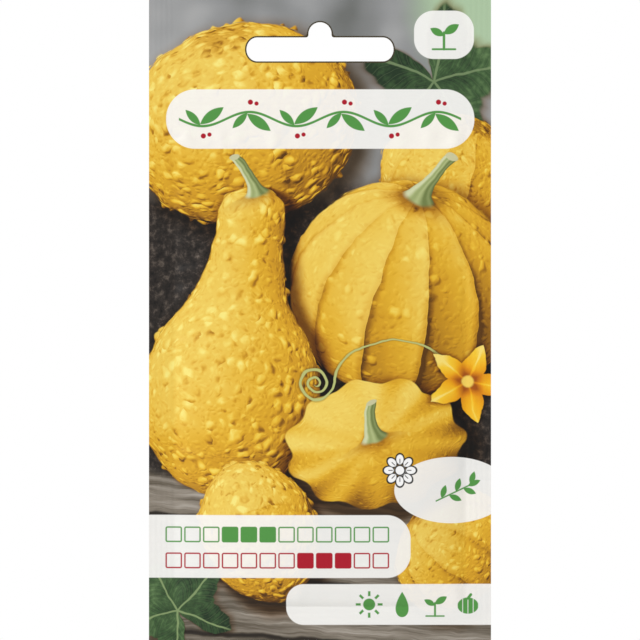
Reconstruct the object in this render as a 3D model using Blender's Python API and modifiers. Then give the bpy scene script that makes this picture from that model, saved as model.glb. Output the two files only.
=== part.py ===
# A printed paper seed packet with a hang hole, and the squash seeds that it holds.
#
# Two paper webs, one in front and one behind, are sealed to each other along the sides,
# the bottom and the header. Between the seals they belly apart into a pouch, and the
# seeds lie heaped at its bottom, flat against the paper.
#
# Units are metres. The front of the packet looks along -Y, X runs to the right across
# it and Z is up. The origin is the crown of the hang hole, where a display peg bears.

import math
import random

import bpy
import bmesh
from mathutils import Matrix, Vector

PACKET_WIDTH = 0.080
PACKET_HEIGHT = 0.150
PAPER_THICKNESS = 0.00012
SEAL_GAP = 0.00006          # between the two webs where they are sealed
SIDE_SEAL = 0.006
BOTTOM_SEAL = 0.008
HEADER_HEIGHT = 0.030       # sealed all over, with the hang hole in it

# The pouch, and how far each web stands out from the middle plane at its fullest.
POUCH_DEPTH = 0.0036
ACROSS_POWER = 3.0          # fullness from side to side
UPWARD_POWER = 1.3          # fullness from bottom to top
POUCH_HALF_WIDTH = PACKET_WIDTH / 2 - SIDE_SEAL
POUCH_HEIGHT = PACKET_HEIGHT - BOTTOM_SEAL - HEADER_HEIGHT

# The hang hole is a long bar with rounded ends and a round crown over its middle.
HOLE_WIDTH = 0.0344
HOLE_BAR_HEIGHT = 0.0056
HOLE_END_REACH = 0.0025     # how far each rounded end runs in from the tip
HOLE_CROWN_RADIUS = 0.0027
HOLE_CROWN_RISE = 0.00355   # from the bar's upper edge to the crown
HOLE_FILLET = 0.0006
HOLE_CROWN_FROM_TOP = 0.00536

PACKET_TOP = HOLE_CROWN_FROM_TOP
PACKET_BOTTOM = PACKET_TOP - PACKET_HEIGHT
POUCH_BOTTOM = PACKET_BOTTOM + BOTTOM_SEAL
POUCH_TOP = PACKET_TOP - HEADER_HEIGHT

SEED_COUNT = 24
SEED_LENGTH = 0.0108
SEED_WIDTH = 0.0068
SEED_THICKNESS = 0.0019
SEED_CLEARANCE = 0.00015
SEED_DISC_RADIUS = 0.0036   # three discs along a seed stand for its outline
SEED_DISC_SPREAD = 0.0025
HEAP_TRIES = 14
HEAP_STEP = 0.0004
HEAP_SEED = 7

PAPER_COLOUR = (0.90, 0.66, 0.20, 1.0)
PAPER_BACK_COLOUR = (0.86, 0.85, 0.80, 1.0)
SEED_COLOUR = (0.86, 0.76, 0.56, 1.0)


def clear_scene():
    for old in list(bpy.data.objects):
        bpy.data.objects.remove(old)


def new_collection(name, hidden=False):
    made = bpy.data.collections.new(name)
    made.hide_render = hidden
    bpy.context.scene.collection.children.link(made)
    return made


def new_material(name, colour, roughness):
    made = bpy.data.materials.new(name)
    made.use_nodes = True
    shader = made.node_tree.nodes["Principled BSDF"]
    shader.inputs["Base Color"].default_value = colour
    shader.inputs["Roughness"].default_value = roughness
    shader.inputs["Metallic"].default_value = 0.0
    made.diffuse_color = colour
    return made


def add_object(name, mesh, collection, material=None):
    made = bpy.data.objects.new(name, mesh)
    collection.objects.link(made)
    if material is not None:
        mesh.materials.append(material)
    return made


def belly(x, z):
    """How far a web stands out from its sealed plane at a point of the packet."""
    across = abs(x) / POUCH_HALF_WIDTH
    upward = (z - POUCH_BOTTOM) / POUCH_HEIGHT
    if across >= 1.0 or not 0.0 < upward < 1.0:
        return 0.0
    lift = math.sin(math.pi * math.sqrt(upward)) ** UPWARD_POWER
    return POUCH_DEPTH * (1.0 - across ** ACROSS_POWER) * lift


def column_lines():
    """Places of the grid lines across a web: the seals' borders, and closer lines near them."""
    cells = 14
    inner = [
        POUCH_HALF_WIDTH * math.sin(math.pi / 2 * (2 * k / cells - 1))
        for k in range(cells + 1)
    ]
    return [-PACKET_WIDTH / 2, *inner, PACKET_WIDTH / 2]


def row_lines():
    """Places of the grid lines up a web, closer together near the bottom of the pouch."""
    cells = 20
    closing_up = 1.7
    pouch = [
        POUCH_BOTTOM + POUCH_HEIGHT * (k / cells) ** closing_up
        for k in range(cells + 1)
    ]
    return [PACKET_BOTTOM, *pouch, PACKET_TOP]


def web_mesh(name, side):
    """The middle surface of one web. side is -1 for the front web and 1 for the back one."""
    columns, rows = column_lines(), row_lines()
    grid = bmesh.new()
    bmesh.ops.create_grid(
        grid, x_segments=len(columns) - 1, y_segments=len(rows) - 1, size=1.0
    )
    sealed_plane = SEAL_GAP / 2 + PAPER_THICKNESS / 2
    for point in grid.verts:
        column = round((point.co.x + 1.0) / 2.0 * (len(columns) - 1))
        row = round((point.co.y + 1.0) / 2.0 * (len(rows) - 1))
        x, z = columns[column], rows[row]
        point.co = Vector((x, side * (sealed_plane + belly(x, z)), z))
    if side > 0:
        bmesh.ops.reverse_faces(grid, faces=grid.faces)
    mesh = bpy.data.meshes.new(name)
    grid.to_mesh(mesh)
    grid.free()
    return mesh


def arc_points(centre, radii, start, stop, steps):
    """Points along part of an ellipse, with its angles in degrees."""
    points = []
    for k in range(steps + 1):
        angle = math.radians(start + (stop - start) * k / steps)
        points.append(
            (centre[0] + radii[0] * math.cos(angle), centre[1] + radii[1] * math.sin(angle))
        )
    return points


def hole_outline():
    """The hang hole's outline, anticlockwise, about its crown at (0, 0)."""
    bar_top = -HOLE_CROWN_RISE
    bar_middle = bar_top - HOLE_BAR_HEIGHT / 2
    end_centre = HOLE_WIDTH / 2 - HOLE_END_REACH
    end_radii = (HOLE_END_REACH, HOLE_BAR_HEIGHT / 2)
    crown = (0.0, -HOLE_CROWN_RADIUS)
    fillet_x = HOLE_CROWN_RADIUS + HOLE_FILLET
    fillet_y = bar_top + HOLE_FILLET
    fillet = (HOLE_FILLET, HOLE_FILLET)
    right_end = arc_points((end_centre, bar_middle), end_radii, -90, 90, 12)
    right_fillet = arc_points((fillet_x, fillet_y), fillet, 270, 180, 4)
    over = arc_points(crown, (HOLE_CROWN_RADIUS, HOLE_CROWN_RADIUS), 0, 180, 14)
    left_fillet = arc_points((-fillet_x, fillet_y), fillet, 0, -90, 4)
    left_end = arc_points((-end_centre, bar_middle), end_radii, 90, 270, 12)
    return [*right_end, *right_fillet, *over, *left_fillet, *left_end]


def hole_cutter(collection):
    """A prism of the hang hole's outline, long enough to pass through both webs."""
    reach = 0.003
    curve = bpy.data.curves.new("hang_hole_outline", "CURVE")
    curve.dimensions = "2D"
    curve.fill_mode = "BOTH"
    curve.extrude = reach
    outline = hole_outline()
    spline = curve.splines.new("POLY")
    spline.points.add(len(outline) - 1)
    for point, (x, z) in zip(spline.points, outline):
        point.co = (x, z, 0.0, 1.0)
    spline.use_cyclic_u = True
    drawn = bpy.data.objects.new("hang_hole_outline", curve)
    collection.objects.link(drawn)
    drawn.matrix_world = Matrix.Rotation(math.pi / 2, 4, "X")
    bpy.context.view_layer.update()
    graph = bpy.context.evaluated_depsgraph_get()
    mesh = bpy.data.meshes.new_from_object(drawn.evaluated_get(graph))
    work = bmesh.new()
    work.from_mesh(mesh)
    bmesh.ops.remove_doubles(work, verts=work.verts, dist=1e-6)
    bmesh.ops.recalc_face_normals(work, faces=work.faces)
    work.to_mesh(mesh)
    work.free()
    cutter = add_object("hang_hole_cutter", mesh, collection)
    cutter.matrix_world = drawn.matrix_world.copy()
    cutter.hide_render = True
    cutter.display_type = "WIRE"
    bpy.data.objects.remove(drawn)
    return cutter


def add_web(name, side, cutter, collection, material):
    web = add_object(name, web_mesh(name, side), collection, material)
    wall = web.modifiers.new("paper", "SOLIDIFY")
    wall.thickness = PAPER_THICKNESS
    wall.offset = 0.0
    wall.use_even_offset = True
    cut = web.modifiers.new("hang_hole", "BOOLEAN")
    cut.operation = "DIFFERENCE"
    cut.object = cutter
    return web


def seed_mesh():
    """A flat squash seed: blunt at one end, pointed at the other, with a thick rim."""
    point_taper = 0.30
    rim_squareness = 0.65
    bpy.ops.mesh.primitive_uv_sphere_add(segments=12, ring_count=8, radius=1.0)
    ball = bpy.context.object
    mesh = ball.data.copy()
    bpy.data.objects.remove(ball)
    for point in mesh.vertices:
        through, across, along = point.co
        girth = math.hypot(across, through)
        face = (abs(through) / girth) ** rim_squareness * girth if girth > 1e-6 else 0.0
        point.co = Vector((
            along * SEED_LENGTH / 2,
            math.copysign(face, through) * SEED_THICKNESS / 2,
            across * (1.0 - point_taper * along) * SEED_WIDTH / 2,
        ))
    mesh.shade_smooth()
    return mesh


def disc_centres(x, z, angle):
    """The three discs that stand for a seed lying at an angle in the packet's plane."""
    return [
        (x + k * SEED_DISC_SPREAD * math.cos(angle), z + k * SEED_DISC_SPREAD * math.sin(angle))
        for k in (-1, 0, 1)
    ]


def fits_pouch(discs, depth):
    """Whether the webs stand far enough apart all round these discs for this depth."""
    for x, z in discs:
        for k in range(8):
            turn = math.pi / 4 * k
            room = belly(
                x + SEED_DISC_RADIUS * math.cos(turn), z + SEED_DISC_RADIUS * math.sin(turn)
            )
            if room < depth:
                return False
    return True


def clears(discs, layer, heap):
    """Whether these discs miss every seed that shares their layer."""
    for _, _, _, other_layer, other_discs in heap:
        if layer * other_layer < 0:
            continue
        for x, z in discs:
            for other_x, other_z in other_discs:
                if math.hypot(x - other_x, z - other_z) < 2 * SEED_DISC_RADIUS:
                    return False
    return True


def resting_height(x, angle, layer, heap):
    """The lowest height at which a seed fits the pouch and clears the heap, or None."""
    depth = SEED_THICKNESS * (0.5 + abs(layer) * 0.5) + SEED_CLEARANCE * (1 + abs(layer))
    z = POUCH_BOTTOM
    while z < POUCH_BOTTOM + POUCH_HEIGHT / 2:
        discs = disc_centres(x, z, angle)
        if fits_pouch(discs, depth) and clears(discs, layer, heap):
            return z
        z += HEAP_STEP
    return None


def heap_of_seeds():
    """Drops the seeds one by one, each into the lowest place among a few seeded draws.
    Layer -1 lies against the front web, 1 against the back web and 0 between them."""
    draw = random.Random(HEAP_SEED)
    heap = []
    while len(heap) < SEED_COUNT:
        places = []
        for _ in range(HEAP_TRIES):
            x = draw.uniform(-1.0, 1.0) * (POUCH_HALF_WIDTH - SEED_WIDTH)
            angle = draw.uniform(0.0, 2 * math.pi)
            layer = draw.choice((-1, 0, 1))
            z = resting_height(x, angle, layer, heap)
            if z is not None:
                places.append((z, x, angle, layer))
        z, x, angle, layer = min(places)
        heap.append((x, z, angle, layer, disc_centres(x, z, angle)))
    return heap


def add_seeds(collection, material):
    mesh = seed_mesh()
    mesh.materials.append(material)
    layer_offset = SEED_THICKNESS / 2 + SEED_CLEARANCE
    for number, (x, z, angle, layer, _) in enumerate(heap_of_seeds(), start=1):
        seed = add_object(f"seed_{number:02d}", mesh, collection)
        place = Matrix.Translation((x, layer * layer_offset, z))
        seed.matrix_world = place @ Matrix.Rotation(-angle, 4, "Y")


def main():
    clear_scene()
    parts = new_collection("seed_packet")
    cutters = new_collection("cutters", hidden=True)
    front_paper = new_material("front_paper", PAPER_COLOUR, 0.45)
    back_paper = new_material("back_paper", PAPER_BACK_COLOUR, 0.50)
    seed_coat = new_material("seed_coat", SEED_COLOUR, 0.55)
    cutter = hole_cutter(cutters)
    add_web("front_web", -1, cutter, parts, front_paper)
    add_web("back_web", 1, cutter, parts, back_paper)
    add_seeds(parts, seed_coat)


main()
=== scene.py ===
import math
import random

import bpy
from mathutils import Matrix, Vector, noise


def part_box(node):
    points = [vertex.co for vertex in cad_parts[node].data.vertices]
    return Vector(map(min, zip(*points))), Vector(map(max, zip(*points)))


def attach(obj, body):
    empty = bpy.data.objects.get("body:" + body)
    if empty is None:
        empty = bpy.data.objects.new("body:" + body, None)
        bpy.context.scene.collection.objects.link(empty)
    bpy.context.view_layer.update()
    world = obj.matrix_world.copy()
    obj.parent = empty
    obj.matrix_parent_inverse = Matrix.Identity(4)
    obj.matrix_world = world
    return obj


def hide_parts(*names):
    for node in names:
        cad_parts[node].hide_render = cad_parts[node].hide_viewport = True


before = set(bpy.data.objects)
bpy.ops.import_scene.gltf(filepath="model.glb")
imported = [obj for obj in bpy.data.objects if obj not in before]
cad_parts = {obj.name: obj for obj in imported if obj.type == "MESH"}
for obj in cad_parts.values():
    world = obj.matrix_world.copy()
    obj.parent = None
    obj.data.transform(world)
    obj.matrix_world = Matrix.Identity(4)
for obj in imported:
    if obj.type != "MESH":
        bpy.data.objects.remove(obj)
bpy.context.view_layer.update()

# The looks of a printed paper seed packet. The mesh code is in metres. The print is laid
# out in millimetres on the page: u runs right from the middle, v up from the bottom edge.

millimetre = 0.001

packet = {
    "thickness": 0.00012,
    "sealGap": 0.00006,          # between the two webs in the seals
    "sideSeal": 0.006,
    "bottomSeal": 0.008,
    "header": 0.030,
    "bellyDepth": 0.0036,        # how far a web stands out at its fullest
    "acrossPower": 3.0,
    "upwardPower": 1.3,
}

webLow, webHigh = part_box("front_web")
packet["halfWidth"] = webHigh[0]
packet["bottom"] = webLow[2]
packet["top"] = webHigh[2]
packet["halfPouch"] = packet["halfWidth"] - packet["sideSeal"]
packet["pouchBottom"] = packet["bottom"] + packet["bottomSeal"]
packet["pouchTop"] = packet["top"] - packet["header"]
pageHalf = packet["halfWidth"] / millimetre
pageHeight = (packet["top"] - packet["bottom"]) / millimetre


# Shader maths

def mathMethod(name, swapped=False):
    # the work of one of Python's operators
    def work(wire, value):
        values = (value, wire) if swapped else (wire, value)
        return wire.pad.math(name, *values)
    return work


class Wire:
    # one output of a node; a sum written with it in Python adds Math nodes
    def __init__(self, pad, socket):
        self.pad = pad
        self.socket = socket

    def other(self, name):
        return Wire(self.pad, self.socket.node.outputs[name])

    def __neg__(self):
        return self.pad.math("MULTIPLY", self, -1)

    def __abs__(self):
        return self.pad.math("ABSOLUTE", self)

    __add__ = mathMethod("ADD")
    __radd__ = mathMethod("ADD", swapped=True)
    __sub__ = mathMethod("SUBTRACT")
    __rsub__ = mathMethod("SUBTRACT", swapped=True)
    __mul__ = mathMethod("MULTIPLY")
    __rmul__ = mathMethod("MULTIPLY", swapped=True)
    __truediv__ = mathMethod("DIVIDE")
    __pow__ = mathMethod("POWER")


class Pad:
    # a material's node tree, the part of the page that it prints, and the ways to draw in it
    def __init__(self, name, window=None):
        self.window = window
        self.material = bpy.data.materials.new(name)
        self.material.use_nodes = True
        self.tree = self.material.node_tree
        self.shader = self.tree.nodes["Principled BSDF"]

    def sees(self, look):
        # whether a motif reaches this pad's part of the page
        margin = 3       # for its wobble
        left, low, right, high = self.window
        (u, v), half = look["centre"], look["half"]
        lean, grow = math.radians(look["lean"]), look["grow"]
        wide = math.hypot(half[0] * math.cos(lean), half[1] * math.sin(lean)) * grow + margin
        tall = math.hypot(half[0] * math.sin(lean), half[1] * math.cos(lean)) * grow + margin
        return left < u + wide and u - wide < right and low < v + tall and v - tall < high

    def add(self, kind, settings, values, output=0):
        node = self.tree.nodes.new(kind)
        for name, setting in settings.items():
            if name == "stops":
                self.setStops(node.color_ramp, setting)
            elif name == "curve":
                self.setCurve(node.mapping, setting)
            else:
                setattr(node, name, setting)
        for name, value in values.items():
            if isinstance(value, Wire):
                self.tree.links.new(value.socket, node.inputs[name])
            else:
                node.inputs[name].default_value = value
        return Wire(self, node.outputs[output])

    def setStops(self, ramp, stops):
        # each stop is a place and a screen colour
        while len(ramp.elements) < len(stops):
            ramp.elements.new(0.5)
        for element, (place, *colour) in zip(ramp.elements, stops):
            element.position = place
            element.color = ink(*colour)

    def setCurve(self, mapping, points):
        curve = mapping.curves[0]
        while len(curve.points) < len(points):
            curve.points.new(0.5, 0.5)
        for point, place in zip(curve.points, points):
            point.location = place
        mapping.update()

    def feed(self, name, value):
        self.tree.links.new(value.socket, self.shader.inputs[name])

    def emboss(self, height, distance):
        values = {"Strength": 1.0, "Distance": distance, "Height": height}
        self.feed("Normal", self.add("ShaderNodeBump", {}, values))

    def math(self, operation, *values):
        return self.add("ShaderNodeMath", {"operation": operation}, dict(enumerate(values)))

    def vector(self, operation, *values):
        return self.add("ShaderNodeVectorMath", {"operation": operation}, dict(enumerate(values)))

    def number(self, operation, *values):
        return self.vector(operation, *values).other("Value")

    def scaled(self, vector, amount):
        values = {0: vector, "Scale": amount}
        return self.add("ShaderNodeVectorMath", {"operation": "SCALE"}, values)

    def point(self, x, y, z):
        return self.add("ShaderNodeCombineXYZ", {}, {"X": x, "Y": y, "Z": z})

    def parts(self, vector):
        first = self.add("ShaderNodeSeparateXYZ", {}, {0: vector})
        return first, first.other("Y"), first.other("Z")

    def root(self, value, least=0.0):
        # a square root whose value is first held at the least one or above
        return self.math("SQRT", self.math("MAXIMUM", value, least))

    def step(self, value, start, stop, low=0.0, high=1.0, smooth=True):
        # low before start, high after stop, and a clean turn between them
        return self.add(
            "ShaderNodeMapRange",
            {"interpolation_type": "SMOOTHSTEP" if smooth else "LINEAR"},
            {"Value": value, "From Min": start, "From Max": stop, "To Min": low, "To Max": high},
        )

    def mix(self, amount, first, second, how="MIX"):
        return self.add(
            "ShaderNodeMix", {"data_type": "RGBA", "blend_type": how},
            {0: amount, 6: first, 7: second}, 2,
        )

    def ramp(self, value, stops):
        return self.add("ShaderNodeValToRGB", {"stops": stops}, {0: value})

    def place(self, page, centre, half=(1.0, 1.0), lean=0.0):
        # the page seen from a motif: its centre at 0, its half sizes at 1, turned clockwise by lean
        return self.add(
            "ShaderNodeMapping", {"vector_type": "TEXTURE"},
            {
                "Vector": page,
                "Location": (centre[0], 0.0, centre[1]),
                "Rotation": (0.0, math.radians(lean), 0.0),
                "Scale": (half[0], 1.0, half[1]),
            },
        )

    def motif(self, page, look):
        # the page seen from a motif, and how far across and along the motif each point is
        local = self.place(page, look["centre"], look["half"], look["lean"])
        across, _, along = self.parts(local)
        return local, across, along

    def sector(self, turn, count):
        # an angle as a place in one of count equal sectors, from -0.5 to 0.5
        shift = 20.5     # half a sector, and whole ones that keep it above 0
        return self.math("FRACT", turn * (count / math.tau) + shift) - 0.5

    def noise(self, where, scale, detail=2.0, roughness=0.5):
        return self.add(
            "ShaderNodeTexNoise", {},
            {"Vector": where, "Scale": scale, "Detail": detail, "Roughness": roughness},
        )

    def wobble(self, where, scale, reach):
        # a place pushed about by soft noise
        push = self.vector("SUBTRACT", self.noise(where, scale).other("Color"), (0.5, 0.5, 0.5))
        return self.vector("MULTIPLY_ADD", push, reach, where)

    def dice(self, number):
        # one random value for each whole number
        return self.add("ShaderNodeTexWhiteNoise", {"noise_dimensions": "1D"}, {"W": number})


def ink(red, green, blue):
    # a screen colour as the shader's linear one
    def linear(value):
        value = value / 255
        return value / 12.92 if value <= 0.04045 else ((value + 0.055) / 1.055) ** 2.4
    return (linear(red), linear(green), linear(blue), 1.0)


# Shapes on the page. Each gives a distance in millimetres, below 0 inside.

def disc(pad, page, centre, radius):
    return pad.number("DISTANCE", page, (centre[0], 0.0, centre[1])) - radius


def roundBox(pad, page, centre, half, corner):
    away = pad.vector("ABSOLUTE", pad.vector("SUBTRACT", page, (centre[0], 0.0, centre[1])))
    past = pad.vector("SUBTRACT", away, (half[0] - corner, 0.0, half[1] - corner))
    return pad.number("LENGTH", pad.vector("MAXIMUM", past, (0.0, 0.0, 0.0))) - corner


def petal(pad, page, centre, length, width, lean):
    # a leaf or petal outline, pointed at both ends
    local = pad.place(page, centre, (1.0, length / 2), lean)
    across, _, along = pad.parts(local)
    return abs(across) - (1 - along * along) * (width / 2)


def stroke(pad, page, start, stop, width):
    # a straight bar with round ends
    run = Vector((stop[0] - start[0], 0.0, stop[1] - start[1]))
    away = pad.vector("SUBTRACT", page, (start[0], 0.0, start[1]))
    share = pad.number("DOT_PRODUCT", away, run / run.length_squared)
    near = pad.scaled(run, pad.add("ShaderNodeClamp", {}, {0: share}))
    return pad.number("DISTANCE", away, near) - width / 2


def both(first, second):
    return first.pad.math("MAXIMUM", first, second)


def either(*shapes):
    joined = shapes[0]
    for shape in shapes[1:]:
        joined = joined.pad.math("MINIMUM", joined, shape)
    return joined


def inked(shape, soft=0.08):
    # 1 inside a shape and 0 outside it
    return shape.pad.step(shape, soft, -soft, smooth=False)


# The picture's motifs. Each takes the picture so far and gives it back with the motif on it.

sunlight = Vector((-0.50, 0.62, 0.60)).normalized()   # y is out of the page

fruitInks = [
    (0.00, 92, 56, 10),
    (0.16, 160, 108, 20),
    (0.34, 213, 157, 32),
    (0.50, 234, 184, 47),
    (0.67, 243, 203, 66),
    (0.84, 250, 219, 88),
    (1.00, 255, 238, 122),
]
leafInks = [(0.22, 34, 54, 34), (0.42, 62, 90, 54), (0.60, 96, 126, 80), (0.82, 148, 174, 122)]


def sunFrom(lean, tip):
    # the light's direction, seen from a fruit that leans on the page and tips out of it
    turned = Matrix.Rotation(-math.radians(lean), 3, "Y") @ sunlight
    tipped = Matrix.Rotation(math.radians(tip), 3, "X") @ turned
    return turned, tipped


def fruitColour(pad, light, facing):
    # deep yellow by the light on each bump, with a pale sheen where the skin faces the sky
    colour = pad.ramp(light * 0.8, fruitInks)
    sheen = pad.step(facing * 0.6 + light * 0.4, 0.56, 0.96, 0.0, 0.30)
    return pad.mix(sheen, colour, ink(249, 231, 150))


def dim(pad, amount, picture):
    # a shade that turns warm before it turns dark
    warm = pad.mix(amount, picture, ink(212, 168, 112), "MULTIPLY")
    return pad.mix(amount * amount, warm, ink(96, 82, 66), "MULTIPLY")


def castShade(pad, page, picture, look):
    # the soft dark round a fruit on what lies behind it, a little down and to the right
    half = [value * look["spread"] for value in look["half"]]
    centre = (look["centre"][0] + 1.6, look["centre"][1] - 1.8)
    away = pad.number("LENGTH", pad.place(page, centre, half, look["lean"]))
    return dim(pad, pad.step(away, 1.10, 0.88, 0.0, look["shade"]), picture)


def wartField(pad, skin, sun, look):
    # raised warts: how far up each one a point is, and how its slope meets the light
    def cells(scale, randomness):
        near = pad.add("ShaderNodeTexVoronoi", {"feature": "F1"},
                       {"Vector": skin, "Scale": scale, "Randomness": randomness})
        away = pad.vector("SUBTRACT", skin, near.other("Position"))
        return near, pad.number("DOT_PRODUCT", away, sun)

    warts = look["warts"]
    skin = pad.wobble(skin, 5.0, (1.3 / warts,) * 3)
    near, slope = cells(warts, 0.85)
    size = pad.add("ShaderNodeSeparateColor", {}, {0: near.other("Color")})
    size = size * 0.36 + look["wartSize"]
    raised = pad.step(near, size, size * 0.1)
    slope = slope * pad.step(near, size, size * 0.5)
    fine, pimple = cells(warts * 2.3, 1.0)
    pimple = pimple * pad.step(fine, 0.62, 0.30)
    lit = slope * (warts * look["wartLight"]) + pimple * (warts * look["pimples"])
    return raised, lit + (raised - 0.3) * look["wartPale"]


def gourd(pad, page, picture, look):
    # a round fruit whose stem end tips out of the page, with ribs, warts and a dimple
    picture = castShade(pad, page, picture, look)
    turned, tipped = sunFrom(look["lean"], look["tip"])
    local = pad.place(page, look["centre"], look["half"], look["lean"])
    reach = pad.number("DOT_PRODUCT", local, local)
    rise = pad.root(1 - reach)
    away = pad.math("SQRT", reach)
    held = pad.vector("DIVIDE", local, pad.math("MAXIMUM", away, 1.0))
    normal = pad.vector("ADD", held, pad.point(0.0, rise, 0.0))
    skin = pad.add(
        "ShaderNodeVectorRotate", {"rotation_type": "X_AXIS"},
        {"Vector": normal, "Angle": math.radians(look["tip"])},
    )
    facing = pad.number("DOT_PRODUCT", normal, turned) * 0.44 + 0.42
    raised, lit = wartField(pad, skin, tipped, look)
    east, out, pole = pad.parts(skin)
    girth = pad.root(1 - pole * pole, 0.0001)
    rib = pad.sector(pad.math("ARCTAN2", east, out), look["ribs"])
    ribLight = rib * (out * tipped.x - east * tipped.y) * (-look["ribLight"])
    groove = pad.step(abs(rib), 0.34, 0.5, 0.0, look["groove"]) * girth
    dimple = pad.step(pole, 0.93, 1.0, 0.0, look["dimple"])
    mottle = pad.noise(skin, 3.2, 6.0, 0.68) - 0.5
    facing = facing + ribLight + mottle * look["mottle"]
    light = facing + lit - groove - dimple - pad.step(rise, 0.42, 0.0, 0.0, 0.20)
    colour = fruitColour(pad, light, facing)
    edge = away - raised * look["bumpy"] + abs(rib) * girth * look["notch"]
    return pad.mix(pad.step(edge, 1.006, 0.985), picture, colour)


def longGourd(pad, page, picture, look):
    # a gourd turned about its length, from a profile of its half width
    def halfWidth(share):
        return pad.add("ShaderNodeFloatCurve", {"curve": look["profile"]}, {"Value": share})

    ahead = 0.03         # where the slope is read, as a share of the length
    turned, _ = sunFrom(look["lean"], 0.0)
    _, across, along = pad.motif(page, look)
    share = along * 0.5 + 0.5
    width = halfWidth(share)
    slim = look["half"][0] / look["half"][1]
    slope = (halfWidth(share + ahead) - width) / (ahead * 2) * slim
    under = pad.step(abs(across - 0.08) - width, 0.20, -0.02) * pad.step(abs(along), 1.04, 0.97)
    picture = dim(pad, under * look["shade"], picture)
    side = both(either(across / both(width, 0.01), 1.0), -1.0)      # held between -1 and 1
    rise = pad.root(1 - side * side)
    normal = pad.vector("NORMALIZE", pad.point(side, rise, -slope))
    skin = pad.point(side * width, rise * width, along / slim)
    facing = pad.number("DOT_PRODUCT", normal, turned) * 0.44 + 0.42
    raised, lit = wartField(pad, skin, turned, look)
    mottle = pad.noise(skin, 3.0, 6.0, 0.68) - 0.5
    facing = facing + mottle * look["mottle"]
    light = facing + lit - pad.step(rise, 0.42, 0.0, 0.0, 0.20)
    edge = abs(across) - width - raised * look["bumpy"]
    return pad.mix(pad.step(edge, 0.008, -0.012), picture, fruitColour(pad, light, facing))


def scallopedSquash(pad, page, picture, look):
    # a flat squash with a scalloped rim, seen from above its stem
    picture = castShade(pad, page, picture, look)
    turned, _ = sunFrom(look["lean"], 0.0)
    local, across, along = pad.motif(page, look)
    away = pad.number("LENGTH", local)
    lobes = pad.math("ARCTAN2", along, across) * look["lobes"]
    share = away / (pad.math("COSINE", lobes) * 0.045 + 0.955)
    dome = pad.root(1 - share * share * 0.96, 0.02)
    normal = pad.vector("NORMALIZE", pad.vector("ADD", local, pad.point(0.0, dome, 0.0)))
    facing = pad.number("DOT_PRODUCT", normal, turned) * 0.46 + 0.42
    cross = (across * turned.z - along * turned.x) / pad.math("MAXIMUM", away, 0.05)
    ridges = pad.math("SINE", lobes) * cross * share * share * (-look["ridgeLight"])
    _, lit = wartField(pad, normal, turned, look)
    dimple = pad.step(share, 0.30, 0.05, 0.0, look["dimple"])
    mottle = pad.noise(local, 3.2, 4.0, 0.6) - 0.5
    facing = facing + ridges + mottle * look["mottle"]
    colour = fruitColour(pad, facing + lit - dimple, facing)
    return pad.mix(pad.step(share, 1.01, 0.985), picture, colour)


def stem(pad, page, picture, look):
    # a ribbed, curved stub that flares where it meets the fruit, with a pale cut face
    tip = 0.42           # its half width at the cut
    local, across, along = pad.motif(page, look)
    width = tip + (1 - along) ** 6 * 0.60
    side = (across - along * along * look["bend"]) / width
    shade = 0.66 - side * 0.34 + pad.math("COSINE", side * 9.0) * 0.11
    colour = pad.ramp(shade, [
        (0.05, 58, 66, 34), (0.45, 118, 132, 76), (0.75, 172, 184, 124), (1.0, 214, 219, 176)])
    foot = -along - (1 - side * side) * 0.12
    edge = both(abs(side) - 1, both(along - 1, foot))
    under = pad.step(edge, 0.34, -0.05, 0.0, 0.5) * pad.step(along, 0.42, 0.04)
    picture = dim(pad, under, picture)
    picture = pad.mix(pad.step(edge, 0.05, -0.05), picture, colour)
    cut = pad.number("LENGTH", pad.place(local, (look["bend"], 1.0), (tip, 0.07))) - 1
    return pad.mix(pad.step(cut, 0.15, -0.15), picture, ink(206, 204, 160))


def lobedLeaf(pad, page, picture, look):
    # toothed lobes, with a vein down each and branches from the veins
    local, across, along = pad.motif(page, look)
    away = pad.number("LENGTH", local)
    turn = pad.math("ARCTAN2", across, along)
    part = pad.sector(turn, look["lobes"])
    teeth = pad.math("PINGPONG", turn * 4.6, 0.5) * 0.07
    rim = pad.math("COSINE", part * math.tau) * look["cut"] + (0.86 - look["cut"]) + teeth
    edge = away - rim + pad.step(abs(turn), 2.5, math.pi, 0.0, 0.55)
    vein = pad.step(abs(part) * away, 0.016, 0.006) * pad.step(away, 1.0, 0.75)
    side = abs(pad.math("FRACT", (away - abs(part) * 0.8) * 7.5) - 0.5)
    branch = pad.step(side, 0.44, 0.5, 0.0, 0.3)
    cloud = pad.noise(local, 4.0, 5.0, 0.65)
    shade = cloud * 0.9 - side * 0.26 + look["light"] - across * 0.14 + along * 0.10
    colour = pad.ramp(shade, leafInks)
    colour = pad.mix(both(vein, branch) * 0.75, colour, look["veinInk"])
    picture = dim(pad, pad.step(edge, 0.16, -0.05, 0.0, 0.7), picture)
    return pad.mix(pad.step(edge, look["blur"], -look["blur"]), picture, colour)


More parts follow.
